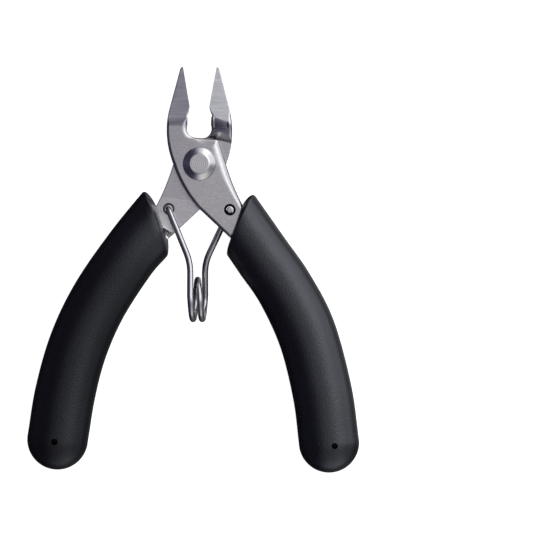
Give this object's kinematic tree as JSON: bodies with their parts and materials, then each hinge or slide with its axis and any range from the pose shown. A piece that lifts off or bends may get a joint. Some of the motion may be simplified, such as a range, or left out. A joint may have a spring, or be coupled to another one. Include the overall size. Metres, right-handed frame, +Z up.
{
  "type": "sprue nippers",
  "caption": "Small flush-cutting nippers with angled tapered jaws on a riveted lap joint, a wire return spring and curved soft grips.",
  "frame": {"origin": "centre of the bounding box in plan, on the table that the grips' undersides rest on", "axes": "the tool lies flat: +Y from the handles towards the blade tips, +X towards the right handle seen from the front, +Z up out of the front face with the rivet head"},
  "size_m": [0.0734, 0.09, 0.0104],
  "materials": {
    "arm_steel": "satin ground steel",
    "rivet_steel": "turned, bright",
    "spring_wire": "drawn wire, polished",
    "grip_vinyl": "satin black vinyl with a fine pebble grain"
  },
  "bodies": {
    "front_body": {"front_arm": "arm_steel", "pivot_rivet": "rivet_steel", "right_grip": "grip_vinyl"},
    "rear_body": {"rear_arm": "arm_steel", "left_grip": "grip_vinyl"},
    "spring_right_leg": {"spring_right": "spring_wire"},
    "spring_left_leg": {"spring_left": "spring_wire"}
  },
  "joints": [
    {"name": "pivot", "type": "hinge", "parent": "front_body", "child": "rear_body", "pos_m": [0.0014, 0.02342, 0.0052], "axis": [0, 0, 1], "range_deg": [0, 19.2], "stiffness_Nm_per_rad": 0.3, "springref_deg": -20.05},
    {"name": "spring_hook", "type": "hinge", "parent": "front_body", "child": "spring_right_leg", "pos_m": [0.0081, 0.01327, 0.0052], "axis": [0, 0, 1], "range_deg": [0, 15]},
    {"name": "spring_coil", "type": "hinge", "parent": "spring_right_leg", "child": "spring_left_leg", "pos_m": [0.00097, -0.00658, 0.0052], "axis": [0, 0, 1], "range_deg": [-10.5, 0]}
  ],
  "couplings": [
    {"joint": "spring_hook", "follows": "pivot", "ratio": 0.754},
    {"joint": "spring_coil", "follows": "pivot", "ratio": -0.5208}
  ]
}
